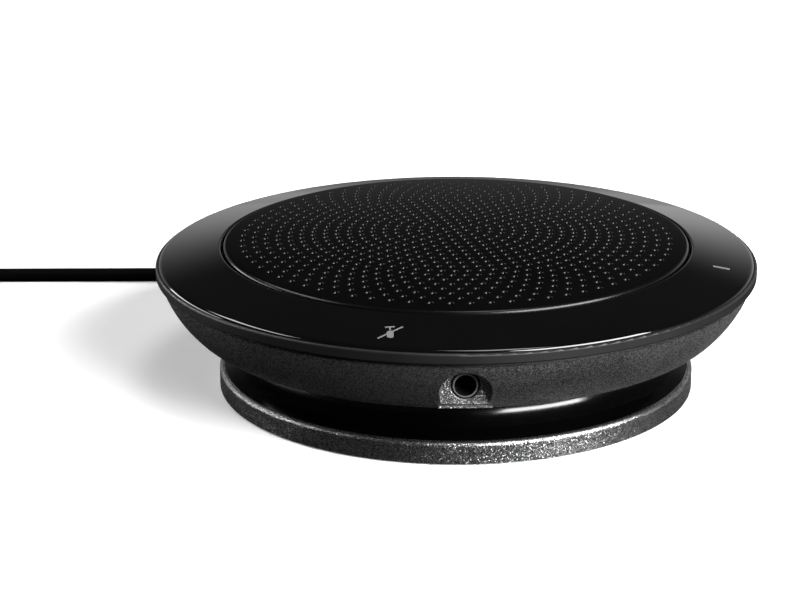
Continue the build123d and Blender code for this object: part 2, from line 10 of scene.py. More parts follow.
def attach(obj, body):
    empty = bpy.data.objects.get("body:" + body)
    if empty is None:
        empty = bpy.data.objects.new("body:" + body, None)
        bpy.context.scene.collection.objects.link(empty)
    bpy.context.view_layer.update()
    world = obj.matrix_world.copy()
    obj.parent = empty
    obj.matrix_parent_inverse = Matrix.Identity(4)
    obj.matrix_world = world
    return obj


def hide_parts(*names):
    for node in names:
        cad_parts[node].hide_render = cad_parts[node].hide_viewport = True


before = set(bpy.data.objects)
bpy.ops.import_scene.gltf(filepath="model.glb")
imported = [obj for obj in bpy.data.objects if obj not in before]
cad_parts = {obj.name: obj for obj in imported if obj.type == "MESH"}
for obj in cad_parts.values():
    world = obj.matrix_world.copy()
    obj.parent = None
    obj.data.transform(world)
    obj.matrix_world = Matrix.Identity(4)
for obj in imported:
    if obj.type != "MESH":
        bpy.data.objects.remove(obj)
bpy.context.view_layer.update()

# The camera stands in front of the headset jack and looks down on the touch ring. It has a long lens, so the
# round unit keeps its true proportions.
camera_data = bpy.data.cameras.new("camera")
camera_data.lens = 101.35
camera_data.sensor_width = 36.0
camera_data.clip_end = 20.0
camera = bpy.data.objects.new("camera", camera_data)
camera.matrix_world = (
    Matrix.Translation((-0.01462, -0.41852, 0.15279))
    @ Matrix.Rotation(radians(-0.52), 4, "Z")
    @ Matrix.Rotation(radians(71.91), 4, "X")
    @ Matrix.Rotation(radians(-0.295), 4, "Z")
)
bpy.context.scene.collection.objects.link(camera)
bpy.context.scene.camera = camera


# USB lead: a 3 mm cord with a soft satin PVC jacket over four wires. It leaves the back of the groove, lies
# on the table, is wound into a small coil, and ends at its plug.
def node_of(tree, kind, **settings):
    node = tree.nodes.new(kind)
    for name, value in settings.items():
        setattr(node, name, value)
    return node


drift_low = 0.3
drift_high = 0.7


def moulding_texture_group():
    """Fine moulded grain, with a slow drift in gloss as on handled plastic."""
    group = bpy.data.node_groups.new("moulding_texture", "ShaderNodeTree")
    for name, value in (("Grain Scale", 4000.0), ("Gloss Low", 0.4), ("Gloss High", 0.5)):
        socket = group.interface.new_socket(name=name, in_out="INPUT", socket_type="NodeSocketFloat")
        socket.default_value = value
    group.interface.new_socket(name="Height", in_out="OUTPUT", socket_type="NodeSocketFloat")
    group.interface.new_socket(name="Roughness", in_out="OUTPUT", socket_type="NodeSocketFloat")
    group.interface.new_socket(name="Drift", in_out="OUTPUT", socket_type="NodeSocketFloat")
    given = node_of(group, "NodeGroupInput")
    result = node_of(group, "NodeGroupOutput")
    place = node_of(group, "ShaderNodeTexCoord")
    grain = node_of(group, "ShaderNodeTexNoise")
    grain.inputs["Detail"].default_value = 2.0
    drift = node_of(group, "ShaderNodeTexNoise")
    drift.inputs["Scale"].default_value = 60.0
    drift.inputs["Detail"].default_value = 3.0
    gloss = node_of(group, "ShaderNodeMapRange")
    gloss.inputs["From Min"].default_value = drift_low
    gloss.inputs["From Max"].default_value = drift_high
    link = group.links.new
    link(place.outputs["Object"], grain.inputs["Vector"])
    link(place.outputs["Object"], drift.inputs["Vector"])
    link(given.outputs["Grain Scale"], grain.inputs["Scale"])
    link(drift.outputs["Fac"], gloss.inputs["Value"])
    link(given.outputs["Gloss Low"], gloss.inputs["To Min"])
    link(given.outputs["Gloss High"], gloss.inputs["To Max"])
    link(grain.outputs["Fac"], result.inputs["Height"])
    link(gloss.outputs["Result"], result.inputs["Roughness"])
    link(drift.outputs["Fac"], result.inputs["Drift"])
    return group


moulding_texture = moulding_texture_group()


def moulded(name, colour, gloss, grain_scale, grain_depth, metallic=0.0, specular=0.5):
    """A material with moulded grain: gloss is its lowest and highest roughness, grain_depth is in metres."""
    material = bpy.data.materials.new(name)
    material.use_nodes = True
    tree = material.node_tree
    shader = tree.nodes["Principled BSDF"]
    shader.inputs["Metallic"].default_value = metallic
    shader.inputs["Specular IOR Level"].default_value = specular
    texture = node_of(tree, "ShaderNodeGroup", node_tree=moulding_texture)
    texture.inputs["Grain Scale"].default_value = grain_scale
    texture.inputs["Gloss Low"].default_value = gloss[0]
    texture.inputs["Gloss High"].default_value = gloss[1]
    tone = node_of(tree, "ShaderNodeValToRGB")
    for element, position, shade in zip(tone.color_ramp.elements, (drift_low, drift_high), (0.85, 1.1)):
        element.position = position
        element.color = (*[shade * channel for channel in colour], 1.0)
    bump = node_of(tree, "ShaderNodeBump")
    bump.inputs["Distance"].default_value = grain_depth
    link = tree.links.new
    link(texture.outputs["Drift"], tone.inputs["Fac"])
    link(tone.outputs["Color"], shader.inputs["Base Color"])
    link(texture.outputs["Roughness"], shader.inputs["Roughness"])
    link(texture.outputs["Height"], bump.inputs["Height"])
    link(bump.outputs["Normal"], shader.inputs["Normal"])
    return material


def finish(material, *nodes):
    """Gives CAD nodes their material."""
    for name in nodes:
        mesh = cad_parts[name].data
        mesh.materials.clear()
        mesh.materials.append(material)


cord_diameter = 0.003
cord_exit = (-0.02113, 0.04532, 0.0076)
coil_middle = (-0.127, 0.0455)
points_per_turn = 16
cord_smoothness = 6
# Turns, radius and height of the winding: two turns flat on the table, three more on them as it climbs and
# widens, and one and a quarter on top.
winding = (
    (0.0, 0.0195, 0.0015), (1.0, 0.0165, 0.0015), (2.0, 0.0135, 0.0015), (2.1, 0.0135, 0.0028),
    (2.3, 0.0135, 0.0036), (2.6, 0.0135, 0.0043), (3.0, 0.0135, 0.0045), (3.1, 0.0160, 0.0045),
    (3.4, 0.0164, 0.0045), (4.0, 0.0165, 0.0045), (4.1, 0.0190, 0.0045), (4.4, 0.0194, 0.0045),
    (5.0, 0.0195, 0.0045), (5.1, 0.0192, 0.0074), (5.3, 0.0188, 0.0075), (6.25, 0.0166, 0.0075),
)
# Out of the groove, down to the table, and along it to the coil.
cord_route = [
    cord_exit,
    (-0.02536, 0.05438, 0.0076),
    (-0.0330, 0.0610, 0.0036),
    (-0.0440, 0.0644, 0.0015),
    (-0.0580, 0.0642, 0.0015),
    (-0.1030, 0.0650, 0.0015),
    (-0.1195, 0.0650, 0.0015),
]
turn_counts, turn_radii, turn_heights = zip(*winding)
for step in range(int(turn_counts[-1] * points_per_turn) + 1):
    turn = step / points_per_turn
    # A spline runs inside its control points, so they lie a little outside the turn.
    radius = np.interp(turn, turn_counts, turn_radii) / cos(pi / points_per_turn)
    height = np.interp(turn, turn_counts, turn_heights)
    angle = pi / 2 + 2 * pi * turn
    cord_route.append((
        coil_middle[0] + radius * cos(angle), coil_middle[1] + radius * sin(angle), float(height),
    ))
# Down from the top of the coil into the plug, which lies on the table.
cord_route += [
    (-0.1445, 0.0375, 0.0073),
    (-0.1451, 0.0305, 0.0069),
    (-0.1457, 0.0235, 0.0052),
    (-0.1462, 0.0180, 0.00425),
    (-0.1462, 0.0135, 0.00425),
]
cord_curve = bpy.data.curves.new("usb_lead", "CURVE")
cord_curve.dimensions = "3D"
cord_curve.bevel_depth = cord_diameter / 2
cord_curve.bevel_resolution = cord_smoothness
cord_curve.resolution_u = cord_smoothness
cord_curve.use_fill_caps = True
cord_spline = cord_curve.splines.new("NURBS")
cord_spline.points.add(len(cord_route) - 1)
for point, place in zip(cord_spline.points, cord_route):
    point.co = (*place, 1.0)
cord_spline.order_u = 3
cord_spline.use_endpoint_u = True
cord_curve.materials.append(
    moulded("cord_jacket", (0.0008, 0.0008, 0.0008), (0.40, 0.48), 2500.0, 0.00001, specular=0.03)
)
usb_lead = bpy.data.objects.new("usb_lead", cord_curve)
bpy.context.scene.collection.objects.link(usb_lead)
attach(usb_lead, "unit")
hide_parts("usb_cord", "usb_cord_coil", "usb_cord_tail")


# USB plug: a soft moulded grip and boot around a folded, nickel plated steel shell. A white plastic tongue
# inside it carries four gold flashed contacts.
def metal(name, colour, gloss, streak_axis, streak_scale=900.0, depth=0.000004):
    """Plated or brushed metal, with fine streaks drawn out along streak_axis."""
    material = bpy.data.materials.new(name)
    material.use_nodes = True
    tree = material.node_tree
    shader = tree.nodes["Principled BSDF"]
    shader.inputs["Base Color"].default_value = (*colour, 1.0)
    shader.inputs["Metallic"].default_value = 1.0
    place = node_of(tree, "ShaderNodeTexCoord")
    stretch = node_of(tree, "ShaderNodeMapping")
    along = 0.08
    stretch.inputs["Scale"].default_value = [along if axis == streak_axis else 1.0 for axis in "XYZ"]
    streaks = node_of(tree, "ShaderNodeTexNoise")
    streaks.inputs["Scale"].default_value = streak_scale
    streaks.inputs["Detail"].default_value = 4.0
    roughness = node_of(tree, "ShaderNodeMapRange")
    roughness.inputs["To Min"].default_value = gloss[0]
    roughness.inputs["To Max"].default_value = gloss[1]
    bump = node_of(tree, "ShaderNodeBump")
    bump.inputs["Distance"].default_value = depth
    link = tree.links.new
    link(place.outputs["Object"], stretch.inputs["Vector"])
    link(stretch.outputs["Vector"], streaks.inputs["Vector"])
    link(streaks.outputs["Fac"], roughness.inputs["Value"])
    link(roughness.outputs["Result"], shader.inputs["Roughness"])
    link(streaks.outputs["Fac"], bump.inputs["Height"])
    link(bump.outputs["Normal"], shader.inputs["Normal"])
    return material


gold_flash = metal("gold_flash", (0.83, 0.62, 0.28), (0.16, 0.28), "Y")
finish(moulded("plug_grip", (0.010, 0.010, 0.011), (0.45, 0.55), 3000.0, 0.00003), "plug_overmould")
finish(metal("nickel_shell", (0.62, 0.61, 0.59), (0.18, 0.34), "Y"), "plug_shell")
finish(moulded("tongue_white", (0.78, 0.78, 0.75), (0.4, 0.5), 5000.0, 0.000004), "plug_tongue")
finish(gold_flash, "plug_contacts")

# Rubber pad under the base: a soft moulded disc that keeps the unit from sliding on the table. It is stuck to
# the underside of the base plate.
finish(moulded("pad_rubber", (0.012, 0.012, 0.012), (0.75, 0.88), 2500.0, 0.00004), "base_pad")


# Base plate and lower casing: ABS sprayed with a black lacquer that holds fine aluminium flakes, so they look
# lightly grained and sparkle under a lamp.
def flake_lacquer_group():
    """Where the flakes lie in the lacquer, how bright each one is, and how each one is tilted."""
    group = bpy.data.node_groups.new("flake_lacquer", "ShaderNodeTree")
    for name, value in (("Flake Scale", 8500.0), ("Share", 0.35), ("Tilt", 0.35)):
        socket = group.interface.new_socket(name=name, in_out="INPUT", socket_type="NodeSocketFloat")
        socket.default_value = value
    group.interface.new_socket(name="Flake", in_out="OUTPUT", socket_type="NodeSocketFloat")
    group.interface.new_socket(name="Mask", in_out="OUTPUT", socket_type="NodeSocketFloat")
    group.interface.new_socket(name="Normal", in_out="OUTPUT", socket_type="NodeSocketVector")
    given = node_of(group, "NodeGroupInput")
    result = node_of(group, "NodeGroupOutput")
    place = node_of(group, "ShaderNodeTexCoord")
    cells = node_of(group, "ShaderNodeTexVoronoi")
    parts = node_of(group, "ShaderNodeSeparateColor")
    chosen = node_of(group, "ShaderNodeMath", operation="LESS_THAN")
    bright = node_of(group, "ShaderNodeMath", operation="MULTIPLY")
    centred = node_of(group, "ShaderNodeVectorMath", operation="SUBTRACT")
    centred.inputs[1].default_value = (0.5, 0.5, 0.5)
    tilted = node_of(group, "ShaderNodeVectorMath", operation="SCALE")
    surface = node_of(group, "ShaderNodeNewGeometry")
    leaning = node_of(group, "ShaderNodeVectorMath", operation="ADD")
    unit_normal = node_of(group, "ShaderNodeVectorMath", operation="NORMALIZE")
    link = group.links.new
    link(place.outputs["Object"], cells.inputs["Vector"])
    link(given.outputs["Flake Scale"], cells.inputs["Scale"])
    link(cells.outputs["Color"], parts.inputs["Color"])
    link(parts.outputs["Red"], chosen.inputs[0])
    link(given.outputs["Share"], chosen.inputs[1])
    link(chosen.outputs["Value"], bright.inputs[0])
    link(parts.outputs["Green"], bright.inputs[1])
    link(cells.outputs["Color"], centred.inputs[0])
    link(centred.outputs["Vector"], tilted.inputs[0])
    link(given.outputs["Tilt"], tilted.inputs["Scale"])
    link(surface.outputs["Normal"], leaning.inputs[0])
    link(tilted.outputs["Vector"], leaning.inputs[1])
    link(leaning.outputs["Vector"], unit_normal.inputs[0])
    link(bright.outputs["Value"], result.inputs["Flake"])
    link(chosen.outputs["Value"], result.inputs["Mask"])
    link(unit_normal.outputs["Vector"], result.inputs["Normal"])
    return group


flake_lacquer = flake_lacquer_group()


def flaked(name, lacquer, flake_grey, share, tilt, gloss):
    """Lacquer with flakes: share is the part of the surface they cover, and tilt how far they lean."""
    material = bpy.data.materials.new(name)
    material.use_nodes = True
    tree = material.node_tree
    shader = tree.nodes["Principled BSDF"]
    shader.inputs["Specular IOR Level"].default_value = 0.5
    flakes = node_of(tree, "ShaderNodeGroup", node_tree=flake_lacquer)
    flakes.inputs["Share"].default_value = share
    flakes.inputs["Tilt"].default_value = tilt
    texture = node_of(tree, "ShaderNodeGroup", node_tree=moulding_texture)
    texture.inputs["Grain Scale"].default_value = 3000.0
    texture.inputs["Gloss Low"].default_value = gloss[0]
    texture.inputs["Gloss High"].default_value = gloss[1]
    colour = node_of(tree, "ShaderNodeMix", data_type="RGBA")
    colour.inputs["A"].default_value = (*lacquer, 1.0)
    colour.inputs["B"].default_value = (flake_grey, flake_grey, flake_grey, 1.0)
    bump = node_of(tree, "ShaderNodeBump")
    bump.inputs["Distance"].default_value = 0.00003
    link = tree.links.new
    link(flakes.outputs["Flake"], colour.inputs["Factor"])
    link(colour.outputs["Result"], shader.inputs["Base Color"])
    link(flakes.outputs["Mask"], shader.inputs["Metallic"])
    link(texture.outputs["Roughness"], shader.inputs["Roughness"])
    link(texture.outputs["Height"], bump.inputs["Height"])
    link(flakes.outputs["Normal"], bump.inputs["Normal"])
    link(bump.outputs["Normal"], shader.inputs["Normal"])
    return material


black_lacquer = (0.004, 0.004, 0.0042)
finish(flaked("base_lacquer", black_lacquer, 0.58, 0.90, 0.5, (0.32, 0.38)), "base_plate")
finish(flaked("bowl_lacquer", black_lacquer, 0.56, 0.90, 0.6, (0.42, 0.48)), "lower_casing")

# Winding neck: the waist that the lead is wound on, moulded in polished black ABS. The soft strain relief
# boot comes out of it, and the lead goes on inside to a clamp and a socket.
finish(moulded("neck_gloss", (0.0008, 0.0008, 0.0008), (0.14, 0.18), 2500.0, 0.0000005), "winding_neck")
finish(
    moulded("boot_rubber", (0.010, 0.010, 0.010), (0.5, 0.62), 3000.0, 0.00003),
    "strain_relief", "microphone_boot",
)
finish(moulded("inner_jacket", (0.012, 0.012, 0.012), (0.4, 0.5), 2500.0, 0.00002), "inner_lead")
finish(moulded("wire_sleeve", (0.30, 0.03, 0.02), (0.3, 0.4), 4000.0, 0.000005), "lead_wires")
finish(
    moulded("inner_nylon", (0.02, 0.02, 0.02), (0.45, 0.6), 3000.0, 0.00001),
    "cord_clamp", "terminal_strip",
)

# Headset jack: a plated collar in an arched recess, with a nylon housing behind it. Two gold flashed leaf
# springs lean into the bore from the sides and touch the plug. The collar is a turned ring with a bevelled
# mouth. Its bore and its bevelled mouth are painted with the housing's black nylon, as painted shade.
def lathe_mesh(name, profile, steps, closed):
    """A surface turned about Z from radii and heights, which faces left of the way the profile runs."""
    vertices = [
        (radius * cos(2 * pi * step / steps), radius * sin(2 * pi * step / steps), height)
        for radius, height in profile for step in range(steps)
    ]
    faces = []
    for row in range(len(profile) if closed else len(profile) - 1):
        above = row * steps
        below = (row + 1) % len(profile) * steps
        for step in range(steps):
            following = (step + 1) % steps
            faces.append((above + step, below + step, below + following, above + following))
    mesh = bpy.data.meshes.new(name)
    mesh.from_pydata(vertices, [], faces)
    return mesh


jack_nylon = moulded("jack_nylon", (0.003, 0.003, 0.003), (0.4, 0.5), 3000.0, 0.00001)
finish(jack_nylon, "jack_housing")
jack_height = 0.0172
collar_front = 0.0516
collar_back = collar_front - 0.0034
collar_bore = 0.00180
collar_radius = 0.00223
painted_shade_within = 0.00195
collar_steps = 64
collar_mesh = lathe_mesh("turned_collar", [
    (collar_bore, collar_front - 0.00045), (0.00186, collar_front - 0.00030), (0.00194, collar_front),
    (0.00217, collar_front), (collar_radius, collar_front - 0.00008), (collar_radius, collar_back),
    (collar_bore, collar_back),
], collar_steps, closed=True)
collar_mesh.transform(Matrix.Translation((0.0, 0.0, jack_height)) @ Matrix.Rotation(radians(90), 4, "X"))
collar_mesh.shade_smooth()
collar_mesh.set_sharp_from_angle(angle=radians(30))
collar_mesh.materials.append(metal("jack_collar", (0.60, 0.58, 0.55), (0.40, 0.46), "Y"))
collar_mesh.materials.append(jack_nylon)
# Painted shade: the bore and the bevelled mouth take the housing's black nylon instead of the plating.
for face in collar_mesh.polygons:
    if (face.center - Vector((0.0, face.center.y, jack_height))).length < painted_shade_within:
        face.material_index = 1
collar = bpy.data.objects.new("turned_collar", collar_mesh)
bpy.context.scene.collection.objects.link(collar)
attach(collar, "unit")
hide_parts("jack_ferrule")
finish(gold_flash, "jack_tip_contact", "jack_ring_contact")

# Ballast and screws: a plain steel ring on the base plate, and zinc plated screws that hold the stack
# together.
finish(metal("ballast_steel", (0.30, 0.30, 0.31), (0.4, 0.55), "X"), "base_weight")
finish(
    metal("zinc_plate", (0.55, 0.55, 0.56), (0.25, 0.4), "Z"),
    "base_screws", "board_screws", "casing_screws", "driver_screws", "yoke", "top_plate",
)


# Circuit boards: glass epoxy under a green solder mask, with copper tracks that show through as paler lines.
# Moulded chips, drawn cans and nylon sockets are soldered to them, and a film ribbon joins the two.
def solder_mask():
    material = bpy.data.materials.new("solder_mask")
    material.use_nodes = True
    tree = material.node_tree
    shader = tree.nodes["Principled BSDF"]
    place = node_of(tree, "ShaderNodeTexCoord")
    tracks = node_of(tree, "ShaderNodeTexBrick")
    tracks.inputs["Scale"].default_value = 260.0
    tracks.inputs["Mortar Size"].default_value = 0.03
    tracks.inputs["Color1"].default_value = (0.012, 0.10, 0.035, 1.0)
    tracks.inputs["Color2"].default_value = (0.014, 0.115, 0.04, 1.0)
    tracks.inputs["Mortar"].default_value = (0.05, 0.22, 0.09, 1.0)
    texture = node_of(tree, "ShaderNodeGroup", node_tree=moulding_texture)
    texture.inputs["Gloss Low"].default_value = 0.22
    texture.inputs["Gloss High"].default_value = 0.32
    bump = node_of(tree, "ShaderNodeBump")
    bump.inputs["Distance"].default_value = 0.00003
    link = tree.links.new
    link(place.outputs["Object"], tracks.inputs["Vector"])
    link(tracks.outputs["Color"], shader.inputs["Base Color"])
    link(texture.outputs["Roughness"], shader.inputs["Roughness"])
    link(tracks.outputs["Fac"], bump.inputs["Height"])
    link(bump.outputs["Normal"], shader.inputs["Normal"])
    return material


finish(solder_mask(), "main_board", "touch_board")
finish(
    moulded("chip_epoxy", (0.02, 0.02, 0.022), (0.5, 0.6), 6000.0, 0.00001),
    "processor_chip", "audio_chip", "memory_chip", "amplifier_chip",
)
finish(metal("drawn_can", (0.62, 0.62, 0.64), (0.25, 0.35), "Z"), "clock_crystal", "capacitors", "microphone")
finish(
    moulded("natural_nylon", (0.70, 0.67, 0.58), (0.4, 0.5), 3000.0, 0.00001),
    "usb_socket", "speaker_socket", "ribbon_socket",
)
finish(
    moulded("polyimide_film", (0.45, 0.20, 0.04), (0.2, 0.3), 2000.0, 0.000005),
    "ribbon_cable", "coil_former",
)
finish(moulded("frosted_acrylic", (0.75, 0.78, 0.80), (0.35, 0.45), 3000.0, 0.00001), "light_guide")
finish(moulded("lamp_epoxy", (0.80, 0.78, 0.60), (0.3, 0.4), 5000.0, 0.000005), "indicator_lights")

# Rim band: the edge of the upper casing, moulded in near black ABS with a fine satin surface. A narrow
# shadow gap parts it from the bowl.
finish(moulded("band_satin", (0.004, 0.004, 0.004), (0.42, 0.48), 5000.0, 0.000003), "upper_casing")

# Touch ring: a sloping ring of polished black polycarbonate. The two marks are printed on it in thin grey
# ink.
def rounding(start, corner, end, steps):
    """Points along a soft corner between two places in a profile, both of them left in."""
    points = []
    for step in range(steps + 1):
        part = step / steps
        points.append(tuple(
            (1 - part)**2 * first + 2 * part * (1 - part) * middle + part**2 * last
            for first, middle, last in zip(start, corner, end)
        ))
    return points


ring_inner_radius = 0.0454
ring_outer_radius = 0.05745
ring_foot = 0.0243
ring_steps = 288
ring_mesh = lathe_mesh("turned_ring", [
    *rounding((ring_inner_radius, 0.02775), (0.045425, 0.028075), (0.04575, 0.0281), 6),
    (0.0460, 0.028047), (0.0564, 0.025863),
    *rounding((0.0567, 0.0258), (0.05731, 0.02566), (ring_outer_radius, 0.0252), 10),
    (ring_outer_radius, ring_foot), (0.0561, ring_foot), (ring_inner_radius, 0.0266),
], ring_steps, closed=True)
ring_mesh.shade_smooth()
ring_mesh.set_sharp_from_angle(angle=radians(40))
ring_mesh.materials.append(
    moulded("ring_gloss", (0.0012, 0.0012, 0.0013), (0.05, 0.08), 2500.0, 0.0000002)
)
ring = bpy.data.objects.new("turned_ring", ring_mesh)
bpy.context.scene.collection.objects.link(ring)
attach(ring, "unit")
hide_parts("touch_ring")
finish(moulded("mark_ink", (0.12, 0.12, 0.125), (0.45, 0.55), 6000.0, 0.000005), "mute_mark", "minus_mark")

# Loudspeaker: a pressed steel basket, a ring magnet in its steel yoke, and a paper cone that hangs in a
# rubber surround and a resin dipped spider. It moves with the voice coil.
finish(moulded("basket_coat", (0.02, 0.02, 0.022), (0.35, 0.45), 2500.0, 0.00002), "driver_basket")
finish(moulded("sintered_magnet", (0.07, 0.07, 0.075), (0.5, 0.6), 2500.0, 0.00003), "magnet")
finish(metal("coil_copper", (0.70, 0.33, 0.16), (0.25, 0.4), "X"), "voice_coil")
finish(moulded("paper_pulp", (0.025, 0.025, 0.025), (0.75, 0.9), 1500.0, 0.00008), "cone", "dust_cap")
finish(moulded("surround_rubber", (0.015, 0.015, 0.015), (0.5, 0.6), 2500.0, 0.00002), "surround")
finish(moulded("foam_ring", (0.03, 0.03, 0.03), (0.85, 0.95), 1800.0, 0.00015), "driver_gasket")


# Dust screen and spider: woven cloths. The screen is a fine black mesh stuck under the grille, and the
# spider is tan cotton. Each is painted darker where its weave lies low, between the threads, as painted
# shade.
def woven(name, colour, thread_scale):
    material = bpy.data.materials.new(name)
    material.use_nodes = True
    tree = material.node_tree
    shader = tree.nodes["Principled BSDF"]
    shader.inputs["Sheen Weight"].default_value = 0.1
    shader.inputs["Specular IOR Level"].default_value = 0.2
    place = node_of(tree, "ShaderNodeTexCoord")
    warp = node_of(tree, "ShaderNodeTexWave", bands_direction="X")
    weft = node_of(tree, "ShaderNodeTexWave", bands_direction="Y")
    height = node_of(tree, "ShaderNodeMath", operation="MAXIMUM")
    # Painted shade: the low parts of the weave, between the threads, are painted at 0.4 of the cloth's
    # colour.
    tone = node_of(tree, "ShaderNodeValToRGB")
    tone.color_ramp.elements[0].color = (*[0.4 * channel for channel in colour], 1.0)
    tone.color_ramp.elements[1].color = (*colour, 1.0)
    roughness = node_of(tree, "ShaderNodeMapRange")
    roughness.inputs["To Min"].default_value = 0.95
    roughness.inputs["To Max"].default_value = 0.8
    bump = node_of(tree, "ShaderNodeBump")
    bump.inputs["Distance"].default_value = 0.00005
    link = tree.links.new
    for wave, side in ((warp, 0), (weft, 1)):
        wave.inputs["Scale"].default_value = thread_scale
        link(place.outputs["Object"], wave.inputs["Vector"])
        link(wave.outputs["Fac"], height.inputs[side])
    link(height.outputs["Value"], tone.inputs["Fac"])
    link(tone.outputs["Color"], shader.inputs["Base Color"])
    link(height.outputs["Value"], roughness.inputs["Value"])
    link(roughness.outputs["Result"], shader.inputs["Roughness"])
    link(height.outputs["Value"], bump.inputs["Height"])
    link(bump.outputs["Normal"], shader.inputs["Normal"])
    return material


finish(woven("screen_cloth", (0.004, 0.004, 0.004), 1200.0), "dust_screen")
finish(woven("spider_cloth", (0.45, 0.30, 0.12), 500.0), "spider")

# Speaker grille: a domed steel disc, punched with rings of round holes and powder coated black. The punch
# leaves a soft rounded lip at each hole, where the coat is glossier than on the face. The disc's edge rolls
# down to a skirt that stands on the upper casing.
grille_radius = 0.045
grille_apex = 0.0304
grille_sheet = 0.0009
punched_radius = 0.0432
dome_edge_radius = 0.0441
dome_sag = 0.00175
dome_radius = (dome_edge_radius**2 + dome_sag**2) / (2 * dome_sag)
hole_corners = 16
edge_steps = 180
merge_distance = 0.000005


def grille_tree():
    """A punched disc bent to the dome: each ring has six more holes, and from the twelfth on all have 72."""
    tree = bpy.data.node_groups.new("punched_disc", "GeometryNodeTree")
    tree.is_modifier = True
    sizes = (
        ("Ring Pitch", "NodeSocketFloat", 0.002296), ("Hole Radius", "NodeSocketFloat", 0.00064),
        ("Lip Width", "NodeSocketFloat", 0.0002), ("Sheet", "NodeSocketFloat", grille_sheet),
        ("Disc Radius", "NodeSocketFloat", punched_radius), ("Dome Radius", "NodeSocketFloat", dome_radius),
        ("Apex", "NodeSocketFloat", grille_apex), ("Rings", "NodeSocketInt", 18),
        ("Growing Rings", "NodeSocketInt", 11), ("First Hole", "NodeSocketFloat", radians(-75.6)),
    )
    tree.interface.new_socket(name="Geometry", in_out="INPUT", socket_type="NodeSocketGeometry")
    for name, kind, value in sizes:
        tree.interface.new_socket(name=name, in_out="INPUT", socket_type=kind).default_value = value
    tree.interface.new_socket(name="Paint", in_out="INPUT", socket_type="NodeSocketMaterial")
    tree.interface.new_socket(name="Geometry", in_out="OUTPUT", socket_type="NodeSocketGeometry")
    given = node_of(tree, "NodeGroupInput")
    result = node_of(tree, "NodeGroupOutput")
    link = tree.links.new

    def calculate(operation, first, second):
        node = node_of(tree, "ShaderNodeMath", operation=operation)
        for socket, value in zip(node.inputs, (first, second)):
            if isinstance(value, (int, float)):
                socket.default_value = value
            else:
                link(value, socket)
        return node.outputs["Value"]

    def upright(height):
        node = node_of(tree, "ShaderNodeCombineXYZ")
        link(height, node.inputs["Z"])
        return node.outputs["Vector"]

    # Centres of the holes.
    middle = node_of(tree, "GeometryNodeMeshLine")
    middle.inputs["Count"].default_value = 1
    start = node_of(tree, "GeometryNodeRepeatInput")
    stop = node_of(tree, "GeometryNodeRepeatOutput")
    start.pair_with_output(stop)
    link(given.outputs["Rings"], start.inputs["Iterations"])
    link(middle.outputs["Mesh"], start.inputs["Geometry"])
    number = calculate("ADD", start.outputs["Iteration"], 1.0)
    growing = calculate("MINIMUM", number, calculate("ADD", given.outputs["Growing Rings"], 1.0))
    beyond = calculate("GREATER_THAN", number, given.outputs["Growing Rings"])
    is_even = calculate("SUBTRACT", 1.0, calculate("MODULO", number, 2.0))
    holes = calculate("MULTIPLY", growing, 6.0)
    shift = calculate("MULTIPLY", calculate("MULTIPLY", beyond, is_even), calculate("DIVIDE", pi, holes))
    circle = node_of(tree, "GeometryNodeMeshCircle")
    link(holes, circle.inputs["Vertices"])
    link(calculate("MULTIPLY", number, given.outputs["Ring Pitch"]), circle.inputs["Radius"])
    turned = node_of(tree, "GeometryNodeTransform")
    link(circle.outputs["Mesh"], turned.inputs["Geometry"])
    link(upright(calculate("ADD", given.outputs["First Hole"], shift)), turned.inputs["Rotation"])
    gathered = node_of(tree, "GeometryNodeJoinGeometry")
    link(start.outputs["Geometry"], gathered.inputs["Geometry"])
    link(turned.outputs["Geometry"], gathered.inputs["Geometry"])
    link(gathered.outputs["Geometry"], stop.inputs["Geometry"])
    centres = stop.outputs["Geometry"]

    def punched_face(radius, depth):
        """The disc's flat face at this depth, with holes of this radius."""
        hole = node_of(tree, "GeometryNodeCurvePrimitiveCircle")
        hole.inputs["Resolution"].default_value = hole_corners
        link(radius, hole.inputs["Radius"])
        placed = node_of(tree, "GeometryNodeInstanceOnPoints")
        link(centres, placed.inputs["Points"])
        link(hole.outputs["Curve"], placed.inputs["Instance"])
        edge = node_of(tree, "GeometryNodeCurvePrimitiveCircle")
        edge.inputs["Resolution"].default_value = edge_steps
        link(given.outputs["Disc Radius"], edge.inputs["Radius"])
        outlines = node_of(tree, "GeometryNodeJoinGeometry")
        link(placed.outputs["Instances"], outlines.inputs["Geometry"])
        link(edge.outputs["Curve"], outlines.inputs["Geometry"])
        real = node_of(tree, "GeometryNodeRealizeInstances")
        link(outlines.outputs["Geometry"], real.inputs["Geometry"])
        filled = node_of(tree, "GeometryNodeFillCurve")
        link(real.outputs["Geometry"], filled.inputs["Curve"])
        lowered = node_of(tree, "GeometryNodeTransform")
        link(filled.outputs["Mesh"], lowered.inputs["Geometry"])
        link(upright(calculate("MULTIPLY", depth, -1.0)), lowered.inputs["Translation"])
        return lowered.outputs["Geometry"]

    def hole_wall(upper_radius, lower_radius, upper_depth, lower_depth):
        """One band of a hole's wall, which faces into the hole."""
        band = node_of(tree, "GeometryNodeMeshCone", fill_type="NONE")
        band.inputs["Vertices"].default_value = hole_corners
        link(upper_radius, band.inputs["Radius Top"])
        link(lower_radius, band.inputs["Radius Bottom"])
        link(calculate("SUBTRACT", lower_depth, upper_depth), band.inputs["Depth"])
        inward = node_of(tree, "GeometryNodeFlipFaces")
        link(band.outputs["Mesh"], inward.inputs["Mesh"])
        lowered = node_of(tree, "GeometryNodeTransform")
        link(inward.outputs["Mesh"], lowered.inputs["Geometry"])
        link(upright(calculate("MULTIPLY", lower_depth, -1.0)), lowered.inputs["Translation"])
        return lowered.outputs["Geometry"]

    radius = given.outputs["Hole Radius"]
    lip = given.outputs["Lip Width"]
    sheet = given.outputs["Sheet"]
    wall = node_of(tree, "GeometryNodeJoinGeometry")
    upper_radius = radius
    upper_depth = 0.0
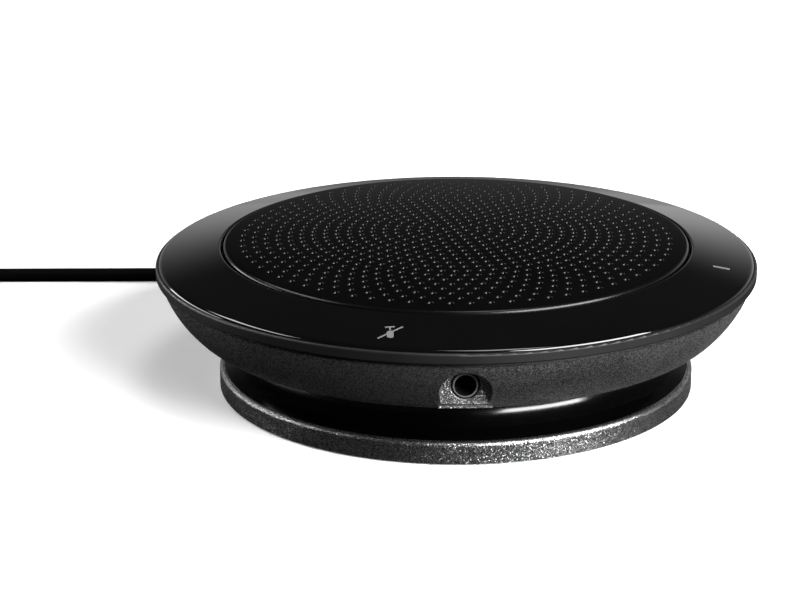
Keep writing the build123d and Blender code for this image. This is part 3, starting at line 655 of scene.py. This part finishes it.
    # How far in and how far down each band of the lip ends, as shares of the lip's width.
    for narrowing, deepening in ((0.25, 0.17), (0.9, 1.3), (1.0, 2.25)):
        lower_radius = calculate("SUBTRACT", radius, calculate("MULTIPLY", lip, narrowing))
        lower_depth = calculate("MULTIPLY", lip, deepening)
        link(hole_wall(upper_radius, lower_radius, upper_depth, lower_depth), wall.inputs["Geometry"])
        upper_radius = lower_radius
        upper_depth = lower_depth
    link(hole_wall(upper_radius, upper_radius, upper_depth, sheet), wall.inputs["Geometry"])
    walls = node_of(tree, "GeometryNodeInstanceOnPoints")
    link(centres, walls.inputs["Points"])
    link(wall.outputs["Geometry"], walls.inputs["Instance"])
    under = node_of(tree, "GeometryNodeFlipFaces")
    link(punched_face(upper_radius, sheet), under.inputs["Mesh"])
    disc = node_of(tree, "GeometryNodeJoinGeometry")
    link(punched_face(radius, 0.0), disc.inputs["Geometry"])
    link(under.outputs["Mesh"], disc.inputs["Geometry"])
    link(walls.outputs["Instances"], disc.inputs["Geometry"])
    solid = node_of(tree, "GeometryNodeRealizeInstances")
    link(disc.outputs["Geometry"], solid.inputs["Geometry"])
    sealed = node_of(tree, "GeometryNodeMergeByDistance")
    sealed.inputs["Distance"].default_value = merge_distance
    link(solid.outputs["Geometry"], sealed.inputs["Geometry"])

    # The dome: every point drops by its distance from the axis, squared, over twice the dome's radius.
    place = node_of(tree, "GeometryNodeInputPosition")
    split_place = node_of(tree, "ShaderNodeSeparateXYZ")
    link(place.outputs["Position"], split_place.inputs["Vector"])
    squared = calculate(
        "ADD",
        calculate("POWER", split_place.outputs["X"], 2.0),
        calculate("POWER", split_place.outputs["Y"], 2.0),
    )
    drop = calculate("DIVIDE", squared, calculate("MULTIPLY", given.outputs["Dome Radius"], 2.0))
    domed = node_of(tree, "GeometryNodeSetPosition")
    link(sealed.outputs["Geometry"], domed.inputs["Geometry"])
    link(upright(calculate("SUBTRACT", given.outputs["Apex"], drop)), domed.inputs["Offset"])
    painted = node_of(tree, "GeometryNodeSetMaterial")
    link(domed.outputs["Geometry"], painted.inputs["Geometry"])
    link(given.outputs["Paint"], painted.inputs["Material"])
    link(painted.outputs["Geometry"], result.inputs["Geometry"])
    return tree


def shine_where_steep(material, level_shine, steep_shine):
    """Makes a coat shine more where it faces sideways, as on the lips of the holes and the rolled edge."""
    tree = material.node_tree
    facing = node_of(tree, "ShaderNodeNewGeometry")
    facing_parts = node_of(tree, "ShaderNodeSeparateXYZ")
    shine = node_of(tree, "ShaderNodeMapRange")
    shine.inputs["From Min"].default_value = 0.93
    shine.inputs["From Max"].default_value = 0.70
    shine.inputs["To Min"].default_value = level_shine
    shine.inputs["To Max"].default_value = steep_shine
    link = tree.links.new
    link(facing.outputs["Normal"], facing_parts.inputs["Vector"])
    link(facing_parts.outputs["Z"], shine.inputs["Value"])
    link(shine.outputs["Result"], tree.nodes["Principled BSDF"].inputs["Specular IOR Level"])


punching = bpy.data.objects.new("punching", bpy.data.meshes.new("punching"))
bpy.context.scene.collection.objects.link(punching)
punched_disc = punching.modifiers.new("punched_disc", "NODES")
punched_disc.node_group = grille_tree()
grille_paint = moulded(
    "grille_powder_coat", (0.0015, 0.0015, 0.0015), (0.20, 0.26), 2600.0, 0.000002, specular=0.03,
)
shine_where_steep(grille_paint, level_shine=0.003, steep_shine=0.22)
for item in punched_disc.node_group.interface.items_tree:
    if item.name == "Paint":
        punched_disc[item.identifier] = grille_paint
bpy.context.view_layer.update()
evaluated = punching.evaluated_get(bpy.context.evaluated_depsgraph_get())
grille_mesh = bpy.data.meshes.new_from_object(evaluated)
bpy.data.objects.remove(punching)

# The rolled edge and the skirt carry on from the punched disc, round the foot and back up inside.
lip_drop = 0.0008
skirt_foot = 0.0263
roll_steps = 6
shoulder_top = grille_apex - dome_sag
edge_profile = [(punched_radius, grille_apex - punched_radius**2 / (2 * dome_radius))]
for step in range(roll_steps + 1):
    angle = radians(90 - 90 * step / roll_steps)
    edge_profile.append((
        dome_edge_radius + (grille_radius - dome_edge_radius) * cos(angle),
        shoulder_top - lip_drop + lip_drop * sin(angle),
    ))
edge_profile += [
    (grille_radius, skirt_foot),
    (dome_edge_radius, skirt_foot),
    (dome_edge_radius, shoulder_top - grille_sheet),
    (punched_radius, edge_profile[0][1] - grille_sheet),
]
edge_mesh = lathe_mesh("rolled_edge", edge_profile, edge_steps, closed=False)
joined = bmesh.new()
joined.from_mesh(grille_mesh)
joined.from_mesh(edge_mesh)
bmesh.ops.remove_doubles(joined, verts=joined.verts, dist=merge_distance)
for face in joined.faces:
    face.smooth = True
    face.material_index = 0
joined.to_mesh(grille_mesh)
joined.free()
grille_mesh.materials.clear()
grille_mesh.materials.append(grille_paint)
bpy.data.meshes.remove(edge_mesh)
grille_mesh.set_sharp_from_angle(angle=radians(28.5))
grille = bpy.data.objects.new("punched_grille", grille_mesh)
bpy.context.scene.collection.objects.link(grille)
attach(grille, "unit")
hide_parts("speaker_grille")


# Table top: a plain white sheet that sweeps on behind the unit. The camera sees it white, with a little
# painted glow that lightens its shadows. In reflections it is painted dark near the unit, and further back
# it glows with painted light that stands in for the lit end of a studio sweep.
def table_sheet(glow_start, glow_end, far_strength, seen_strength):
    """White for the camera, with a painted glow. For other rays it is painted dark, and glows with painted
    light more from one Y to the other.
    """
    material = bpy.data.materials.new("table_white_with_painted_glow")
    material.use_nodes = True
    tree = material.node_tree
    shader = tree.nodes["Principled BSDF"]
    shader.inputs["Roughness"].default_value = 0.9
    shader.inputs["Specular IOR Level"].default_value = 0.0
    shader.inputs["Emission Color"].default_value = (1.0, 1.0, 1.0, 1.0)
    seen = node_of(tree, "ShaderNodeLightPath")
    place = node_of(tree, "ShaderNodeTexCoord")
    axes = node_of(tree, "ShaderNodeSeparateXYZ")
    far_painted_glow = node_of(tree, "ShaderNodeMapRange", interpolation_type="SMOOTHSTEP")
    far_painted_glow.inputs["From Min"].default_value = glow_start
    far_painted_glow.inputs["From Max"].default_value = glow_end
    far_painted_glow.inputs["To Max"].default_value = far_strength
    # For rays other than the camera's the sheet is painted near black, as painted shade in its reflections.
    tone = node_of(tree, "ShaderNodeMix", data_type="RGBA")
    tone.inputs["A"].default_value = (0.012, 0.012, 0.012, 1.0)
    tone.inputs["B"].default_value = (0.9, 0.9, 0.9, 1.0)
    # Painted glow: a small even glow for the camera, and for other rays painted light that grows further
    # back.
    glow = node_of(tree, "ShaderNodeMix", data_type="FLOAT")
    glow.inputs["B"].default_value = seen_strength
    link = tree.links.new
    link(place.outputs["Object"], axes.inputs["Vector"])
    link(axes.outputs["Y"], far_painted_glow.inputs["Value"])
    link(seen.outputs["Is Camera Ray"], tone.inputs["Factor"])
    link(seen.outputs["Is Camera Ray"], glow.inputs["Factor"])
    link(far_painted_glow.outputs["Result"], glow.inputs["A"])
    link(tone.outputs["Result"], shader.inputs["Base Color"])
    link(glow.outputs["Result"], shader.inputs["Emission Strength"])
    return material


half_side = 3.0
floor_mesh = bpy.data.meshes.new("table_top")
floor_mesh.from_pydata([
    (-half_side, -half_side, 0.0), (half_side, -half_side, 0.0),
    (half_side, half_side, 0.0), (-half_side, half_side, 0.0),
], [], [(0, 1, 2, 3)])
floor_mesh.materials.append(
    table_sheet(glow_start=0.1, glow_end=0.5, far_strength=0.45, seen_strength=0.14)
)
table_top = bpy.data.objects.new("table_top", floor_mesh)
bpy.context.scene.collection.objects.link(table_top)


# Studio light: a large soft box at the front right, a small one overhead, a strip and a low wash at the back
# left, and a white screen low behind the unit. The rest of what is overhead stays dark.
light_distance = 1.2


def soft_box(name, azimuth, elevation, width, height, power):
    """An area light that faces the unit, seen from it at this azimuth and elevation in degrees."""
    light = bpy.data.lights.new(name, "AREA")
    light.shape = "RECTANGLE"
    light.size = width
    light.size_y = height
    light.energy = power
    across = light_distance * cos(radians(elevation))
    place = Vector((
        across * cos(radians(azimuth)),
        across * sin(radians(azimuth)),
        light_distance * sin(radians(elevation)),
    ))
    box = bpy.data.objects.new(name, light)
    box.location = place
    box.rotation_euler = place.to_track_quat("Z", "Y").to_euler()
    bpy.context.scene.collection.objects.link(box)


soft_box("key_box", -41.0, 27.0, width=1.05, height=0.7, power=60.0)
soft_box("top_box", -50.0, 76.0, width=0.4, height=0.4, power=4.0)
soft_box("left_strip", 165.0, 45.0, width=1.0, height=0.2, power=6.0)
soft_box("left_wash", 155.0, 8.0, width=0.8, height=0.3, power=5.0)

# The screen fades out upwards and towards the camera, and to half its strength at the left.
screen_strength = 0.68
room_strength = 0.03
world = bpy.data.worlds.new("studio")
world.use_nodes = True
sky = world.node_tree
backdrop = sky.nodes["Background"]
backdrop.inputs["Color"].default_value = (1.0, 1.0, 1.0, 1.0)
direction = node_of(sky, "ShaderNodeTexCoord")
split = node_of(sky, "ShaderNodeSeparateXYZ")
sky.links.new(direction.outputs["Generated"], split.inputs["Vector"])
screen = None
for axis, dark, light, least in (("Z", 0.40, 0.05, 0.0), ("Y", 0.0, 0.6, 0.0), ("X", -0.5, 0.3, 0.5)):
    fade = node_of(sky, "ShaderNodeMapRange", interpolation_type="SMOOTHSTEP")
    fade.inputs["From Min"].default_value = dark
    fade.inputs["From Max"].default_value = light
    fade.inputs["To Min"].default_value = least
    sky.links.new(split.outputs[axis], fade.inputs["Value"])
    if screen is None:
        screen = fade.outputs["Result"]
    else:
        both = node_of(sky, "ShaderNodeMath", operation="MULTIPLY")
        sky.links.new(screen, both.inputs[0])
        sky.links.new(fade.outputs["Result"], both.inputs[1])
        screen = both.outputs["Value"]
room = node_of(sky, "ShaderNodeMath", operation="MULTIPLY_ADD")
room.inputs[1].default_value = screen_strength
room.inputs[2].default_value = room_strength
sky.links.new(screen, room.inputs[0])
sky.links.new(room.outputs["Value"], backdrop.inputs["Strength"])
bpy.context.scene.world = world
bpy.context.scene.view_settings.view_transform = "Standard"
